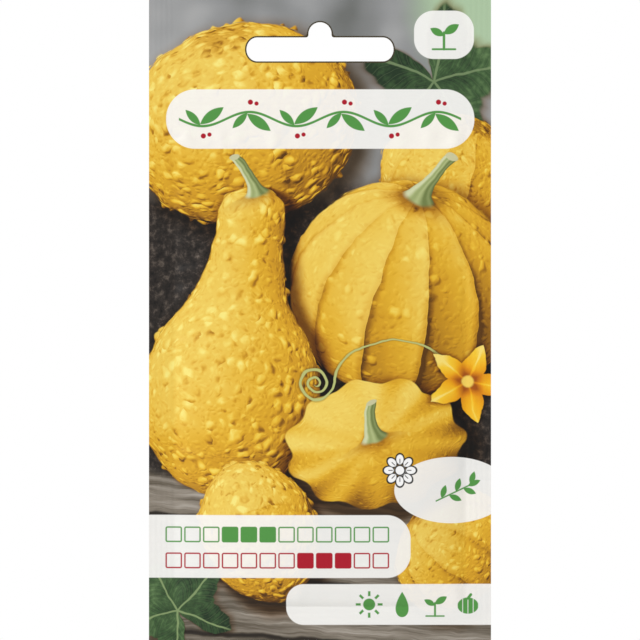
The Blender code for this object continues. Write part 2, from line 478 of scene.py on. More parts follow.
def starBlossom(pad, page, picture, look):
    # five pointed petals round a deep throat
    local, across, along = pad.motif(page, look)
    away = pad.number("LENGTH", local)
    part = abs(pad.sector(pad.math("ARCTAN2", across, along), 5))
    ruffle = (pad.noise(local, 3.5, 3.0) - 0.5) * 0.16
    edge = away + (part * 2) ** 0.8 * 0.56 - 1 + ruffle
    midrib = pad.step(part * away, 0.03, 0.005, 0.0, 0.14)
    throat = pad.step(away, 0.46, 0.06, 0.0, 0.5)
    shade = 0.62 + away * 0.34 - part * 0.60 + ruffle + midrib - throat
    colour = pad.ramp(shade - across * 0.14 + along * 0.08, [
        (0.10, 168, 84, 10), (0.42, 226, 140, 14), (0.64, 246, 178, 22),
        (0.86, 252, 206, 54), (1.0, 255, 228, 120)])
    picture = dim(pad, pad.step(edge, 0.22, -0.05, 0.0, 0.8), picture)
    picture = pad.mix(pad.step(edge, 0.02, -0.02), picture, colour)
    heart = disc(pad, page, look["centre"], look["half"][0] * 0.13)
    return pad.mix(pad.step(heart, 0.3, -0.3), picture, ink(250, 214, 96))


def tendril(pad, page, picture, look):
    # a coil that winds in, and the long arc that brings it there
    inner, rim = 0.2, 0.9          # the coil's first and last radius
    shift = 20.5 - look["turns"]   # sets where the coil ends, and keeps the lane above 0
    local, across, along = pad.motif(page, look)
    away = pad.number("LENGTH", local)
    turn = pad.math("ARCTAN2", along, across) * (1 / math.tau)
    lane = pad.math("FRACT", away * look["turns"] - turn + shift) - 0.5
    past = both(away - (rim + 0.18), either(away - rim, along)) * 4
    coil = both(abs(lane) / look["turns"], both(past, inner - away))
    flattened = pad.vector("MULTIPLY", local, (1.0, 0.0, look["arcFlat"]))
    centre = (look["arcRadius"] + 1, 0.0, 0.0)
    arc = abs(pad.number("DISTANCE", flattened, centre) - look["arcRadius"])
    line = either(coil, both(arc, -along))
    width = look["width"] / look["half"][0]
    dark = pad.step(line, width * 2.4, width * 0.6, 0.0, 0.45)
    picture = pad.mix(dark, picture, ink(60, 52, 28), "MULTIPLY")
    return pad.mix(pad.step(line, width * 1.1, width * 0.5), picture, look["ink"])


def soil(pad, page, picture, look):
    return pad.ramp(pad.noise(page, 0.55, 6.0, 0.72), [
        (0.34, 18, 16, 15), (0.52, 48, 42, 38), (0.64, 92, 82, 74), (0.80, 150, 140, 130)])


def greyWall(pad, page, picture, look):
    # out of focus, with a pale green patch in one corner
    _, _, up = pad.parts(page)
    wall = pad.ramp(pad.noise(page, 0.045, 2.0), [
        (0.30, 112, 114, 112), (0.50, 148, 149, 150), (0.72, 184, 184, 184)])
    glow = disc(pad, page, (42.0, 150.0), 22.0)
    wall = pad.mix(pad.step(glow, 3.0, -9.0, 0.0, 0.92), wall, ink(178, 205, 168))
    wander = pad.noise(page, 0.06, 3.0) * 26
    return pad.mix(pad.step(up + wander, 112.0, 122.0), picture, wall)


def boards(pad, page, picture, look):
    # weathered boards, a little off level
    across, _, up = pad.parts(page)
    slant = up + across * 0.07
    board = slant / 13.5
    seam = pad.step(abs(pad.math("FRACT", board) - 0.5), 0.44, 0.49)
    tone = pad.dice(pad.math("FLOOR", board))
    grain = pad.noise(pad.point(across * 0.045, tone * 9, slant), 0.85, 6.0, 0.66)
    wood = pad.ramp(grain + tone * 0.16 - 0.08, [
        (0.28, 58, 51, 43), (0.45, 104, 95, 82), (0.60, 142, 133, 121), (0.78, 182, 174, 164)])
    wood = pad.mix(seam, wood, ink(44, 38, 32))
    wander = pad.noise(page, 0.06, 3.0) * 9
    return pad.mix(pad.step(up + wander, 46.0, 42.0), picture, wood)


def layer(job, centre, half, lean=0.0, **look):
    # what draws a motif, and its look: grow is how far past its half sizes it may reach
    return job, {"centre": centre, "half": half, "lean": lean, "grow": 1.2, **look}


def fruit(job, centre, half, lean, **look):
    # a fruit with the usual skin, apart from what its own look says
    usual = {
        "dimple": 0.3, "mottle": 0.18, "warts": 6.5, "wartLight": 1.5, "pimples": 1.0,
        "bumpy": 0.04, "notch": 0.03, "spread": 1.08, "shade": 0.9,
    }
    return layer(job, centre, half, lean, **{**usual, **look})


pictureLayers = [
    layer(soil, (0.0, 75.0), (60.0, 90.0)),
    layer(greyWall, (0.0, 126.0), (60.0, 30.0)),
    layer(boards, (0.0, 16.0), (60.0, 24.0)),
    layer(lobedLeaf, (27.0, 131.0), (21.0, 20.0), 150.0, lobes=5, cut=0.15, light=-0.04,
          blur=0.03, veinInk=ink(128, 150, 106)),
    fruit(gourd, (31.0, 108.0), (17.5, 15.5), 24.0, tip=28.0, ribs=11, ribLight=0.45,
          groove=0.12, dimple=0.4, wartSize=0.22, wartPale=0.16, pimples=1.1, shade=0.85),
    fruit(gourd, (-18.0, 121.0), (27.5, 23.5), -14.0, tip=24.0, ribs=12, ribLight=0.22,
          groove=0.09, mottle=0.20, warts=8.0, wartSize=0.38, wartPale=0.22, pimples=1.1,
          bumpy=0.05, shade=0.85),
    fruit(gourd, (19.5, 82.0), (27.0, 26.0), 10.0, tip=30.0, ribs=12, ribLight=0.86,
          groove=0.28, dimple=0.45, warts=7.0, wartSize=0.14, wartLight=1.3, wartPale=0.14,
          pimples=0.7, bumpy=0.012, notch=0.05),
    layer(stem, (23.2, 103.6), (3.6, 11.5), 24.0, bend=0.9),
    fruit(longGourd, (-19.5, 70.0), (21.5, 36.5), 7.0, mottle=0.20, warts=7.2, wartSize=0.34,
          wartLight=1.4, wartPale=0.20,
          profile=[(0.0, 0.0), (0.025, 0.36), (0.10, 0.70), (0.28, 0.98), (0.45, 0.90),
                   (0.66, 0.50), (0.82, 0.38), (0.93, 0.35), (0.985, 0.18), (1.0, 0.0)]),
    layer(stem, (-14.9, 104.6), (2.9, 9.5), -12.0, bend=-1.1),
    fruit(gourd, (31.0, 21.0), (15.5, 12.5), -58.0, tip=20.0, ribs=10, ribLight=0.5,
          groove=0.14, wartSize=0.24, wartPale=0.18, bumpy=0.03, notch=0.04, spread=1.10),
    fruit(scallopedSquash, (13.0, 46.0), (21.5, 15.5), -6.0, lobes=11, ridgeLight=0.34,
          dimple=0.26, mottle=0.16, wartSize=0.14, wartLight=0.8, wartPale=0.10, pimples=0.7,
          spread=1.10),
    layer(stem, (12.6, 47.5), (3.2, 8.0), -20.0, bend=0.7),
    fruit(gourd, (-14.0, 25.5), (17.0, 13.5), 66.0, tip=12.0, ribs=9, ribLight=0.22,
          groove=0.05, dimple=0.2, mottle=0.2, warts=6.4, wartSize=0.36, wartPale=0.20,
          bumpy=0.05, notch=0.01, spread=1.10),
    layer(lobedLeaf, (-33.0, 7.0), (15.0, 14.0), -32.0, lobes=5, cut=0.16, light=0.0,
          blur=0.015, veinInk=ink(150, 172, 118)),
    layer(tendril, (-1.0, 60.5), (4.4, 4.4), -2.0, grow=7.2, turns=2.6, width=0.34,
          arcRadius=3.1, arcFlat=1.5, ink=ink(190, 196, 124)),
    layer(starBlossom, (34.5, 60.5), (10.5, 9.5), 24.0),
]


# What is printed over the picture, with a painted shade round the hang hole's cut edge

printAndShadeInks = {
    "label": ink(253, 252, 249),
    "cream": ink(249, 246, 236),
    "green": ink(84, 152, 72),
    "paleGreen": ink(196, 220, 178),
    "red": ink(176, 16, 40),
    "black": ink(30, 28, 26),
    "grey": ink(142, 140, 134),
    # painted shade: the dark line along the hang hole's cut edge
    "dieLine": ink(66, 58, 40),
    "white": ink(255, 255, 255),
    "sand": ink(226, 205, 164),
    "earth": ink(122, 84, 52),
    "seed": ink(244, 232, 200),
}

hangHole = {
    "width": 34.4,
    "barHeight": 5.6,
    "endReach": 2.5,        # how far each rounded end runs in from its tip
    "crownRadius": 2.7,
    "crownRise": 3.55,      # from the bar's upper edge to the crown
    "fillet": 0.6,
    "crownUp": -packet["bottom"] / millimetre,
    "lineWidth": 0.32,
}


def lay(shape, colour, name, soft=0.08):
    # one ink over the page, inside a shape
    return shape.pad.mix(inked(shape, soft), colour, printAndShadeInks[name])


def holeDistance(pad, page):
    # from the hang hole's outline, which the mesh is cut to as well
    across, _, up = pad.parts(page)
    high = hangHole["barHeight"] / 2
    middle = hangHole["crownUp"] - hangHole["crownRise"] - high
    past = pad.math("MAXIMUM", abs(across) - (hangHole["width"] / 2 - hangHole["endReach"]), 0.0)
    sideways = past / hangHole["endReach"]
    upwards = (up - middle) / high
    steep = pad.math("SQRT", (sideways / hangHole["endReach"]) ** 2 + (upwards / high) ** 2)
    bar = (sideways ** 2 + upwards ** 2 - 1) / (pad.math("MAXIMUM", steep, 0.05) * 2)
    radius = hangHole["crownRadius"]
    crown = disc(pad, page, (0.0, hangHole["crownUp"] - radius), radius)
    return pad.math("SMOOTH_MIN", bar, crown, hangHole["fillet"] * 2)


def dieLine(pad, page, colour, look):
    # a thin line round the hang hole: in dark ink on the front it is painted shade of the cut edge,
    # in pale green on the back it is print
    shape = abs(holeDistance(pad, page)) - hangHole["lineWidth"]
    return lay(shape, colour, look["ink"], 0.05)


def label(pad, page, colour, look):
    shape = roundBox(pad, page, look["centre"], look["half"], look["corner"])
    return pad.mix(inked(shape) * look["cover"], colour, printAndShadeInks[look["ink"]])


def frameLine(pad, page, colour, look):
    shape = roundBox(pad, page, look["centre"], look["half"], look["corner"])
    return lay(abs(shape) - look["line"], colour, look["ink"])


def oval(pad, page, colour, look):
    away = pad.number("LENGTH", pad.place(page, look["centre"], look["half"]))
    return pad.mix(pad.step(away, 1.008, 0.992) * look["cover"], colour, printAndShadeInks[look["ink"]])


def vine(pad, page, colour, look):
    # a winding stem with two leaves on each bend and berries across from them
    across, _, up = pad.parts(page)
    size = look["bend"]
    height = look["centre"][1]
    swing = pad.math("SINE", across * (math.pi / size)) * (size * 0.15)
    twig = abs(up - height - swing) - look["thick"]
    cell = pad.math("FLOOR", across / size)
    side = pad.math("PINGPONG", cell, 1.0) * 2 - 1
    own = pad.point(across - (cell + 0.5) * size, 0.0, (up - height) * side)
    leaf = petal(pad, own, (size * 0.20, size * 0.07), size * 0.62, size * 0.22, 54.0)
    small = petal(pad, own, (-size * 0.20, size * 0.03), size * 0.46, size * 0.16, -44.0)
    berries = either(
        disc(pad, own, (size * 0.02, -size * 0.36), size * 0.055),
        disc(pad, own, (size * 0.15, -size * 0.33), size * 0.045),
    )
    ends = abs(across) - look["half"][0]
    colour = lay(both(either(twig, leaf, small), ends), colour, look["ink"])
    return lay(both(berries, ends), colour, look["berryInk"])


def stamp(pad, page, colour, look):
    mark = look["mark"](pad, page, look["centre"], look["half"][0] * 2)
    return lay(mark, colour, look["ink"])


def seedling(pad, page, centre, size):
    u, v = centre
    top = v + size * 0.14
    return either(
        stroke(pad, page, (u, v - size * 0.45), (u, top), size * 0.09),
        petal(pad, page, (u + size * 0.26, top + size * 0.12), size * 0.64, size * 0.30, 58.0),
        petal(pad, page, (u - size * 0.24, top + size * 0.02), size * 0.56, size * 0.26, -62.0),
    )


def sprout(pad, page, centre, size):
    # a seedling on its line of ground
    u, v = centre
    foot = v - size * 0.45
    ground = stroke(pad, page, (u - size * 0.4, foot), (u + size * 0.4, foot), size * 0.07)
    return either(seedling(pad, page, centre, size), ground)


def sun(pad, page, centre, size):
    local = pad.place(page, centre)
    across, _, along = pad.parts(local)
    away = pad.number("LENGTH", local)
    part = pad.sector(pad.math("ARCTAN2", across, along), 8)
    ray = abs(part) * away * (math.tau / 8) - size * 0.045
    return either(away - size * 0.22, both(ray, abs(away - size * 0.40) - size * 0.09))


def drop(pad, page, centre, size):
    across, _, along = pad.parts(pad.place(page, centre, (size, size * 0.5)))
    share = pad.math("MAXIMUM", along * 0.5 + 0.5, 0.0)
    width = pad.math("SQRT", share) * (1 - share) * 0.66
    return both(abs(across) - width, abs(along) - 1) * size


def fruitMark(pad, page, centre, size):
    # a ribbed fruit with a short slanted stem
    u, v = centre
    body = pad.number("LENGTH", pad.place(page, centre, (size * 0.44, size * 0.34))) - 1
    across, _, _ = pad.parts(page)
    grooves = pad.math("PINGPONG", across - u, size * 0.11) - size * 0.014
    top = v + size * 0.30
    return either(
        both(body * (size * 0.34), -grooves),
        stroke(pad, page, (u, top), (u + size * 0.12, top + size * 0.16), size * 0.12),
    )


def sprig(pad, page, centre, size):
    # a slanted twig with leaves on both sides
    lean = 65.0
    run = Vector((math.sin(math.radians(lean)), math.cos(math.radians(lean)))) * size
    start = Vector(centre) - run / 2
    parts = [stroke(pad, page, start, start + run, size * 0.034)]
    for number in range(5):
        turned = math.radians(lean + (48 if number % 2 else -48))
        out = Vector((math.sin(turned), math.cos(turned))) * (size * 0.17)
        foot = start + run * (0.14 + number * 0.19) + out
        parts.append(petal(pad, page, foot, size * 0.33, size * 0.14, math.degrees(turned)))
    parts.append(petal(pad, page, start + run, size * 0.33, size * 0.13, lean))
    return either(*parts)


def monthRow(pad, page, colour, look):
    # twelve cells, ruled, with the months of the job filled in
    across, _, up = pad.parts(page)
    halfYear = 6
    pitch = look["half"][0] / halfYear
    along = (across - look["centre"][0]) / pitch + halfYear
    month = pad.math("FLOOR", along)
    own = pad.point((along - month - 0.5) * pitch, 0.0, up - look["centre"][1])
    cell = roundBox(pad, own, (0.0, 0.0), (pitch * 0.443, look["half"][1]), look["corner"])
    cell = both(cell, (abs(along - halfYear) - halfYear) * pitch)
    rule = abs(cell + look["rule"]) - look["rule"]
    first, last = look["months"]
    unused = both(first - 1.5 - month, month - last + 0.5)
    return lay(either(rule, both(cell, unused)), colour, look["ink"])


def flowerMark(pad, page, colour, look):
    # a plain daisy in black line on white
    petals = 8
    local = pad.place(page, look["centre"])
    across, _, along = pad.parts(local)
    away = pad.number("LENGTH", local)
    angle = pad.sector(pad.math("ARCTAN2", across, along), petals) * (math.tau / petals)
    out = away * pad.math("COSINE", angle)
    aside = away * pad.math("SINE", angle)
    size = look["half"][0]
    own = pad.point(aside, 0.0, out)
    lobe = pad.number("LENGTH", pad.place(own, (0.0, size * 0.66), (size * 0.255, size * 0.34)))
    lobe = (lobe - 1) * (size * 0.28)
    heart = away - size * 0.30
    edge = look["line"] / 2
    midrib = both(abs(aside) - edge * 0.6, abs(out - size * 0.56) - size * 0.13)
    lines = both(either(abs(lobe) - edge, midrib), edge - heart)
    body = either(lobe, heart)
    colour = lay(body, colour, "white")
    lines = either(lines, abs(heart) - edge)
    return lay(both(lines, body - edge), colour, "black")


def panel(centre, half, corner):
    return layer(label, centre, half, corner=corner, cover=0.90, ink="label")


def months(centre, reach, name):
    # a row for one job, from its first month to its last
    return layer(monthRow, centre, (26.4, 1.85), corner=0.5, rule=0.17, months=reach, ink=name)


def stamped(mark, centre, half, name="green"):
    return layer(stamp, centre, (half, half), mark=mark, ink=name)


frontLabels = [
    panel((0.05, 122.0), (36.05, 6.95), 6.85),
    panel((29.0, 141.7), (7.0, 5.65), 4.6),
    panel((-12.5, 22.1), (33.65, 7.35), 5.6),
    panel((19.1, 8.5), (27.0, 4.8), 4.1),
    layer(oval, (30.8, 35.25), (13.45, 7.75), cover=0.90, ink="label"),
    layer(vine, (0.0, 122.0), (33.0, 6.0), bend=11.0, thick=0.30, ink="green", berryInk="red"),
    months((-10.0, 24.9), (4, 6), "green"),
    months((-10.0, 18.8), (8, 10), "red"),
    stamped(sprout, (29.0, 141.3), 3.3),
    stamped(sprig, (31.6, 34.8), 4.9),
    stamped(sun, (11.5, 8.5), 3.2),
    stamped(drop, (19.2, 8.5), 3.0),
    stamped(sprout, (26.9, 8.1), 2.6),
    stamped(fruitMark, (34.6, 8.2), 2.8),
    layer(flowerMark, (18.65, 39.9), (3.9, 3.9), line=0.34),
    # painted shade round the hang hole's cut edge
    layer(dieLine, (0.0, 139.0), (19.0, 8.0), ink="dieLine"),
]


# The back: a guess at a plain one, with no words. Grey bars stand where text would be.

def textBars(pad, page, colour, look):
    # ragged lines of grey bars, as words seen from afar
    across, _, up = pad.parts(page)
    (u, v), (wide, tall) = look["centre"], look["half"]
    line = (v + tall - up) / look["pitch"]
    row = pad.math("FLOOR", line)
    inLine = abs(line - row - 0.5) - 0.26
    along = (across - u) / look["word"] + row * 0.37
    word = pad.math("FLOOR", along)
    gap = pad.math("FRACT", along)
    chance = pad.add("ShaderNodeTexWhiteNoise", {"noise_dimensions": "2D"}, {
        "Vector": pad.point(word, row, 0.0)})
    inWord = gap - 0.72 - chance * 0.2
    ragged = pad.dice(row + 3.3) ** 3
    inColumn = both(across - u - wide + ragged * (wide * 0.8), u - wide - across)
    shape = both(both(inLine * look["pitch"], inWord * look["word"]), inColumn)
    return lay(both(shape, abs(up - v) - tall), colour, look["ink"], 0.10)


def tintBand(pad, page, colour, look):
    # a band of ink across the page with a gently waved lower edge
    across, _, up = pad.parts(page)
    wave = pad.math("SINE", across * (math.pi / 40)) * look["wave"]
    shape = both(look["low"] + wave - up, up - look["high"])
    return lay(shape, colour, look["ink"])


def roots(pad, page, foot):
    # three short roots that fan out below a seedling's foot
    u, v = foot
    return [stroke(pad, page, (u, v - 0.2), (u + aside, v - deep), 0.34)
            for aside, deep in ((-1.7, 2.4), (0.2, 3.2), (1.6, 2.2))]


def plantingGuide(pad, page, colour, look):
    # a bed of soil in section: seeds at their depth, a first shoot, and seedlings at their spacing
    across, _, up = pad.parts(page)
    u, v = look["centre"]
    wide, tall = look["half"]
    seedAt, shootAt = u - wide * 0.74, u - wide * 0.34
    youngAt, grownAt = u + wide * 0.12, u + wide * 0.68
    depthAt, tick = u - wide * 0.90, wide * 0.04
    soilTop = v - tall * 0.10
    sown = soilTop - 3.4
    panel = roundBox(pad, page, look["centre"], look["half"], 1.6)
    swell = pad.math("SINE", across * 0.7) * 0.35
    colour = lay(panel, colour, "sand")
    earth = both(panel, up - soilTop - swell)
    crumbs = pad.noise(page, 1.4, 3.0, 0.6)
    tone = pad.ramp(crumbs, [(0.38, 92, 62, 38), (0.62, 140, 100, 64)])
    colour = pad.mix(inked(earth), colour, tone)
    seeds = either(
        petal(pad, page, (seedAt, sown), 3.2, 1.7, 30.0),
        petal(pad, page, (shootAt, sown), 3.2, 1.7, -24.0),
    )
    colour = lay(seeds, colour, "seed")
    shoot = either(
        stroke(pad, page, (shootAt, soilTop - 2.6), (shootAt, soilTop + 1.6), 0.5),
        petal(pad, page, (shootAt + 1.0, soilTop + 2.2), 2.6, 1.1, 50.0),
        petal(pad, page, (shootAt - 1.0, soilTop + 2.1), 2.6, 1.1, -50.0),
        seedling(pad, page, (youngAt, soilTop + 2.4), 6.4),
        seedling(pad, page, (grownAt, soilTop + 2.4), 6.4),
        *roots(pad, page, (youngAt, soilTop)),
        *roots(pad, page, (grownAt, soilTop)),
    )
    colour = lay(shoot, colour, "green")
    ruleUp = soilTop + 7.4
    rules = [
        ((youngAt, ruleUp), (grownAt, ruleUp)),
        ((youngAt, ruleUp - 0.8), (youngAt, ruleUp + 0.8)),
        ((grownAt, ruleUp - 0.8), (grownAt, ruleUp + 0.8)),
        ((depthAt, soilTop), (depthAt, sown)),
        ((depthAt - tick, sown), (depthAt + tick, sown)),
    ]
    spacing = either(*[stroke(pad, page, start, stop, 0.22) for start, stop in rules])
    return lay(spacing, colour, "black")


backLayers = [
    layer(tintBand, (0.0, 134.0), (60.0, 20.0), low=117.0, high=151.0, wave=1.6, ink="green"),
    layer(tintBand, (0.0, 118.0), (60.0, 4.0), low=115.2, high=116.2, wave=1.6, ink="paleGreen"),
    layer(vine, (0.0, 126.0), (34.0, 6.0), bend=8.5, thick=0.24, ink="paleGreen", berryInk="sand"),
    layer(textBars, (-17.8, 101.5), (16.2, 10.5), pitch=2.1, word=4.6, ink="grey"),
    layer(textBars, (17.8, 101.5), (16.2, 10.5), pitch=2.1, word=4.1, ink="grey"),
    months((7.0, 84.0), (4, 6), "green"),
    months((7.0, 78.6), (6, 7), "earth"),
    months((7.0, 73.2), (8, 10), "red"),
    stamped(sprout, (-27.5, 84.0), 2.3),
    stamped(sun, (-27.5, 78.6), 2.5, "earth"),
    stamped(fruitMark, (-27.5, 73.2), 2.3, "red"),
    layer(plantingGuide, (0.0, 55.5), (33.6, 11.6)),
    *[layer(frameLine, (u, 33.0), (7.6, 6.4), corner=1.4, line=0.14, ink="green")
      for u in (-25.6, -8.6, 8.6, 25.6)],
    stamped(sun, (-25.6, 33.0), 4.2),
    stamped(drop, (-8.6, 33.0), 4.2),
    stamped(sprig, (8.6, 33.0), 4.2),
    stamped(fruitMark, (25.6, 32.6), 4.2),
    layer(label, (19.0, 15.8), (14.6, 5.2), corner=0.8, cover=1.0, ink="white"),
    layer(frameLine, (19.0, 15.8), (14.6, 5.2), corner=0.8, line=0.12, ink="grey"),
    layer(textBars, (-17.8, 15.8), (16.2, 5.2), pitch=1.73, word=3.4, ink="grey"),
    layer(dieLine, (0.0, 139.0), (19.0, 8.0), ink="paleGreen"),
]


def draw(pad, page, colour, layers):
    for job, look in layers:
        if pad.sees(look):
            colour = job(pad, page, colour, look)
    return colour


def pageOf(pad, side):
    # where a point of the paper lies on the page, whatever its relief
    where = pad.add("ShaderNodeTexCoord", {}, {}).other("Object")
    return pad.vector(
        "MULTIPLY_ADD", where, (side / millimetre, 0.0, 1 / millimetre),
        (0.0, 0.0, -packet["bottom"] / millimetre),
    )


def frontPrint(pad):
    page = pageOf(pad, 1)
    wobbled = pad.wobble(page, 0.16, (1.9, 0.0, 1.9))
    picture = draw(pad, wobbled, None, pictureLayers)
    return finishPaper(pad, draw(pad, page, picture, frontLabels), page)


def backPrint(pad):
    page = pageOf(pad, -1)
    tint = pad.noise(page, 0.05, 2.0)
    ground = pad.mix(tint, printAndShadeInks["cream"], printAndShadeInks["label"])
    return finishPaper(pad, draw(pad, page, ground, backLayers), page)


finish = {
    "gloss": 0.34, "specular": 0.25, "fibre": 2.6, "tooth": 0.000012, "grain": 0.035,
    "rubbed": 0.4,
}


def finishPaper(pad, colour, page):
    # the ink's grain, rubbed edges, the coat's uneven shine and the paper's tooth
    across, _, up = pad.parts(page)
    fibres = pad.noise(page, finish["fibre"], 4.0, 0.62)
    blotch = pad.noise(page, 0.22, 4.0, 0.6)
    edge = either(pageHalf - abs(across), up, pageHeight - up)
    worn = pad.step(edge * 2 + fibres * 0.5 + blotch * 0.5, 0.42, 0.28, 0.0, finish["rubbed"])
    colour = pad.scaled(colour, (fibres - 0.5) * finish["grain"] + 1)
    pad.feed("Base Color", pad.mix(worn, colour, printAndShadeInks["cream"]))
    pad.feed("Roughness", fibres * 0.10 + blotch * 0.16 + worn * 0.3 + (finish["gloss"] - 0.12))
    pad.emboss(fibres, finish["tooth"])
    pad.shader.inputs["Specular IOR Level"].default_value = finish["specular"]
    return pad.material


def plainPaper(name, colour):
    # the bare inside and the cut edges
    pad = Pad(name)
    fibres = pad.noise(pageOf(pad, 1), 1.8, 5.0, 0.7)
    darker = [value - 12 for value in colour]
    pad.feed("Base Color", pad.ramp(fibres, [(0.30, *darker), (0.60, *colour)]))
    pad.feed("Roughness", fibres * 0.2 + 0.70)
    pad.emboss(fibres, 0.00002)
    return pad.material


def seedCoat():
    # cream, with faint streaks and a husky sheen
    pad = Pad("seed_coat")
    where = pad.add("ShaderNodeTexCoord", {}, {}).other("Object")
    cloud = pad.noise(where, 420.0, 4.0, 0.6)
    streak = pad.noise(pad.vector("MULTIPLY", where, (1.0, 1.0, 0.25)), 2600.0, 3.0, 0.6)
    pad.feed("Base Color", pad.ramp(cloud * 0.7 + streak * 0.3, [
        (0.34, 214, 192, 148), (0.50, 232, 216, 178), (0.66, 243, 233, 206)]))
    pad.feed("Roughness", streak * 0.25 + 0.42)
    pad.emboss(streak, 0.00003)
    return pad.material


def makePlates(name, job, across, up):
    # the page as plates, each with a material that holds only what is printed there
    plates = []
    for left, right in zip(across, across[1:]):
        for low, high in zip(up, up[1:]):
            window = (left, low, right, high)
            pad = Pad(f"{name}_{len(plates) + 1}", window)
            plates.append({"window": window, "material": job(pad)})
            print(pad.material.name, len(pad.tree.nodes), "nodes")
    return plates


# The webs of paper

relief = {
    "sealCell": 0.00025,
    "pouchCell": 0.0008,
    "headerCell": 0.0014,
    "bandHeight": 0.008,         # the ribbed seal over the pouch
    "ribPitch": 0.00125,
    "ribHeight": 0.000018,
    "ribFade": 0.0006,
    "waves": (60, 45),           # noise cells in a metre, across and up
    "undulation": 0.00020,
    "fadeIn": 0.0012,            # the belly's height where the rest of the relief is in full
    "seedBump": 0.00030,
    "seedReach": 0.0016,         # how near the paper a seed has to lie to show
    "seedHalf": (0.0068, 0.0048),    # of its print in the paper, along and across
    "sidePleats": 26,
    "endPleats": 11,
    "pleatLength": (0.006, 0.015),
    "pleatWidth": (0.0009, 0.0016),
    "pleatHeight": (0.00010, 0.00036),
    "pleatRise": 0.0015,
    "curl": 0.0006,
    "curlWide": 0.016,           # how far it runs in from the sides, the bottom and the top
    "curlLow": 0.022,
    "curlHigh": 0.020,
}


def spread(*stops):
    # places from the first stop to the last, with cells of about the size given between each two
    places = [stops[0]]
    for start, cell, stop in zip(stops[0::2], stops[1::2], stops[2::2]):
        count = max(1, round((stop - start) / cell))
        places += [start + (stop - start) * number / count for number in range(1, count + 1)]
    return places


def ease(share):
    share = min(max(share, 0.0), 1.0)
    return share * share * (3 - 2 * share)


def belly(x, z):
    across = abs(x) / packet["halfPouch"]
    upward = (z - packet["pouchBottom"]) / (packet["pouchTop"] - packet["pouchBottom"])
    if across >= 1 or not 0 < upward < 1:
        return 0.0
    lift = math.sin(math.pi * math.sqrt(upward)) ** packet["upwardPower"]
    return packet["bellyDepth"] * (1 - across ** packet["acrossPower"]) * lift


def crimp(x, z):
    # fine ribs along the seals, mitred where two seals meet
    aside = abs(x) - packet["halfPouch"]
    below = packet["pouchBottom"] - z
    above = z - packet["pouchTop"]
    into = max(aside, below)
    limit = packet["bottomSeal"] if below > aside else packet["sideSeal"]
    if aside <= 0 < above:
        into, limit = above, relief["bandHeight"]
    if into <= 0 or into >= limit:
        return 0.0
    fade = ease(into / relief["ribFade"]) * ease((limit - into) / relief["ribFade"])
    return math.sin(math.tau * into / relief["ribPitch"]) * relief["ribHeight"] * fade


def curl(x, z):
    # the corners lift a little out of the packet's plane
    aside = max(0.0, 1 - (packet["halfWidth"] - abs(x)) / relief["curlWide"])
    low = max(0.0, 1 - (z - packet["bottom"]) / relief["curlLow"])
    high = max(0.0, 1 - (packet["top"] - z) / relief["curlHigh"])
    turn = 1.0 if x < 0 else -0.6        # the lower corners turn opposite ways
    return relief["curl"] * (aside * aside) * (low * low * turn - high * high * 0.5)


def makePleats(chance):
    # short puckers that run in from the seals: where each starts, its way, length, width, height
    half, low, high = packet["halfPouch"], packet["pouchBottom"], packet["pouchTop"]
    fan = 6              # how much a pucker at the ends leans in, for each metre from the middle
    corner, inset = half * 0.97, 0.002
    pleats = []
    for number in range(relief["sidePleats"]):
        for side in (-1, 1):
            z = low + (high - low) * (number + chance.uniform(0.1, 0.9)) / relief["sidePleats"]
            pleats.append(((side * half, z), (-side, chance.uniform(-0.25, 0.25))))
    for number in range(relief["endPleats"]):
        x = half * (2 * (number + chance.uniform(0.2, 0.8)) / relief["endPleats"] - 1)
        pleats.append(((x, low), (-x * fan, 1.0)))
        pleats.append(((x, high), (-x * fan, -1.0)))
    for side in (-1, 1):
        pleats.append(((side * corner, low + inset), (-side, 0.9)))
        pleats.append(((side * corner, high - inset), (-side, -0.9)))
    shaped = []
    for start, way in pleats:
        shaped.append({
            "start": Vector(start),
            "way": Vector(way).normalized(),
            "length": chance.uniform(*relief["pleatLength"]),
            "width": chance.uniform(*relief["pleatWidth"]),
            "height": chance.uniform(*relief["pleatHeight"]),
        })
    return shaped


def pleatLift(point, pleats):
    farthest = 2.5       # widths to the side, past which a pucker doesn't show
    lift = 0.0
    for pleat in pleats:
        away = point - pleat["start"]
        along = away.dot(pleat["way"])
        if not 0 < along < pleat["length"]:
            continue
        aside = away.cross(pleat["way"]) / pleat["width"]
        if abs(aside) < farthest:
            fade = ease(along / relief["pleatRise"]) * (1 - along / pleat["length"]) ** 1.4
            lift += pleat["height"] * fade * math.exp(-aside * aside)
    return lift


def findSeeds(side):
    # the seeds that lie against one web: place, long way, and how far each pushes it out
    bumps = []
    for name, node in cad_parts.items():
        if not name.startswith("seed_"):
            continue
        low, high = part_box(name)
        middle = Vector(((low[0] + high[0]) / 2, (low[2] + high[2]) / 2))
        face = high[1] if side > 0 else -low[1]
        gap = packet["sealGap"] / 2 + belly(middle.x, middle.y) - face
        if gap > relief["seedReach"]:
            continue
        ends = [Vector((point.co.x, point.co.z)) - middle for point in node.data.vertices]
        bumps.append({
            "middle": middle,
            "way": max(ends, key=lambda end: end.length).normalized(),
            "height": relief["seedBump"] * (1 - max(gap, 0.0) / relief["seedReach"]),
        })
    return bumps


def seedLift(point, bumps):
    length, width = relief["seedHalf"]
    steep = 1.35         # how quickly a print rises from its rim
    lift = 0.0
    for bump in bumps:
        away = point - bump["middle"]
        if away.length > length:
            continue
        along = away.dot(bump["way"]) / length
        aside = away.cross(bump["way"]) / width
        lift = max(lift, bump["height"] * ease(steep * (1 - along * along - aside * aside)))
    return lift


def deselect():
    bpy.ops.object.select_all(action="DESELECT")


def select(piece):
    deselect()
    piece.select_set(True)
    bpy.context.view_layer.objects.active = piece


def editAll():
    bpy.ops.object.mode_set(mode="EDIT")
    bpy.ops.mesh.select_all(action="SELECT")


